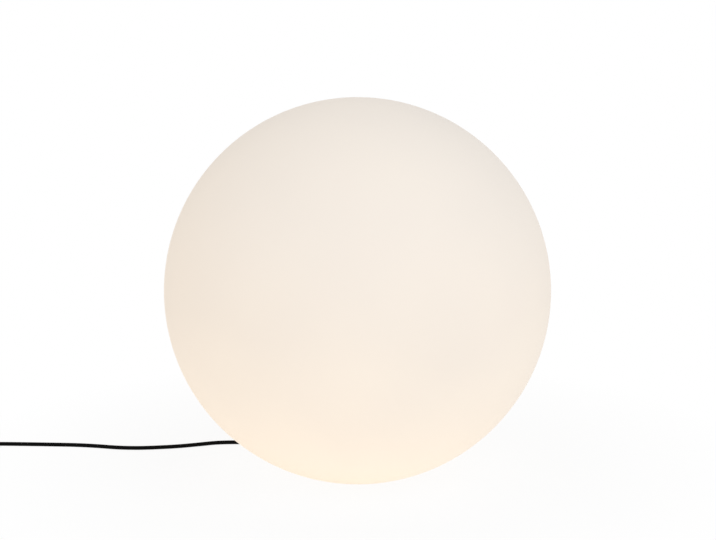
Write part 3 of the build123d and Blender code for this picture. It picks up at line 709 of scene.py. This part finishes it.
def make_materials():
    """One finish for each material slot of the record."""
    finishes = {
        "opal_plastic": opal_plastic(),
        "cord_rubber": cord_rubber(),
        "tie_fabric": strap_fabric(),
    }
    for make, rows in ((moulded, MOULDED_FINISHES), (metal, METAL_FINISHES), (glowing, GLOWING_FINISHES)):
        for name, values in rows.items():
            finishes[name] = make(name, *values)
    return finishes


def dress_cad_nodes():
    """Gives every solid of the frame the finish of its material slot."""
    for part in frame["record"]["subparts"]:
        node = frame["nodes"][part["node"]]
        for slot in node.material_slots:
            slot.material = materials[part["material_slot"]]


def place_piece(piece, body, slot, *nodes):
    """Puts a piece on a body in place of its solids, with the finish of a material slot."""
    piece.data.materials.append(materials[slot])
    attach(piece, body)
    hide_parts(*nodes)
    return piece


def seen_ray(tree):
    """1 for rays from the camera, in gloss or through glass, and 0 for rays that carry light."""
    path = tree.nodes.new("ShaderNodeLightPath")
    seen = path.outputs["Is Camera Ray"]
    for kind in ("Is Glossy Ray", "Is Transmission Ray"):
        seen = combined(tree, "MAXIMUM", seen, path.outputs[kind])
    return seen


def make_floor():
    """Plain white floor that keeps a faint shadow near the lamp and is even white further off."""
    mesh = bpy.data.meshes.new("floor")
    corners = [(x * FLOOR_REACH, y * FLOOR_REACH, 0) for x, y in ((-1, -1), (1, -1), (1, 1), (-1, 1))]
    mesh.from_pydata(corners, [], [(0, 1, 2, 3)])
    floor = new_object("floor", mesh)
    material, tree, shader = new_material("floor", FLOOR_COLOUR, FLOOR_ROUGHNESS)
    distance = tree.nodes.new("ShaderNodeVectorMath")
    distance.operation = "LENGTH"
    tree.links.new(object_place(tree), distance.inputs[0])
    from_lamp = distance.outputs["Value"]
    whiteness = mapped(tree, from_lamp, FLOOR_SHADOW_TO, FLOOR_WHITE_FROM, FLOOR_WHITENESS, 1.0)
    share = combined(tree, "MULTIPLY", seen_ray(tree), whiteness)
    white = tree.nodes.new("ShaderNodeEmission")
    mix = tree.nodes.new("ShaderNodeMixShader")
    tree.links.new(share, mix.inputs["Fac"])
    tree.links.new(shader.outputs["BSDF"], mix.inputs[1])
    tree.links.new(white.outputs["Emission"], mix.inputs[2])
    tree.links.new(mix.outputs["Shader"], tree.nodes["Material Output"].inputs["Surface"])
    mesh.materials.append(material)


def make_world():
    """Even white surroundings: plain soft light, and white where they are seen."""
    world = bpy.data.worlds.new("studio")
    bpy.context.scene.world = world
    world.use_nodes = True
    tree = world.node_tree
    background = tree.nodes["Background"]
    background.inputs["Color"].default_value = (1, 1, 1, 1)
    strength = mapped(tree, seen_ray(tree), 0, 1, WORLD_LIGHT, WORLD_SEEN)
    tree.links.new(strength, background.inputs["Strength"])


def make_light(name, place, power):
    """Soft square lamp at a place, turned to the globe."""
    data = bpy.data.lights.new(name, "AREA")
    data.size = LIGHT_SIZE
    data.energy = power
    light = new_object(name, data)
    light.location = place
    light.rotation_euler = (Vector(LIGHT_TARGET) - Vector(place)).to_track_quat("-Z", "Y").to_euler()


make_camera()
cord = make_cord()
materials = make_materials()
dress_cad_nodes()
place_piece(cord, "base", "cord_rubber", "cord_lead", "cord_coil")
strap = place_piece(make_strap(), "base", "tie_fabric", "cord_tie")
boot = place_piece(make_plug_boot(), "base", "cord_rubber", "plug_boot")
grip = place_piece(make_plug_grip(), "base", "plug_rubber", "plug_body")
sheath_end = place_piece(make_sheath_end(), "base", "cord_rubber", "cord_entry")
place_piece(make_core("brown_core", "core_brown", -1), "base", "brown_insulation", "core_brown")
place_piece(make_core("blue_core", "core_blue", 1), "base", "blue_insulation", "core_blue")
place_piece(make_screw_shell(), "base", "nickel_sheet", "screw_shell")
place_piece(make_bulb_cap(), "bulb", "nickel_sheet", "bulb_cap")
make_floor()
make_world()
make_light("key", KEY_PLACE, KEY_POWER)
make_light("fill", FILL_PLACE, FILL_POWER)
bpy.context.scene.view_settings.view_transform = "Standard"
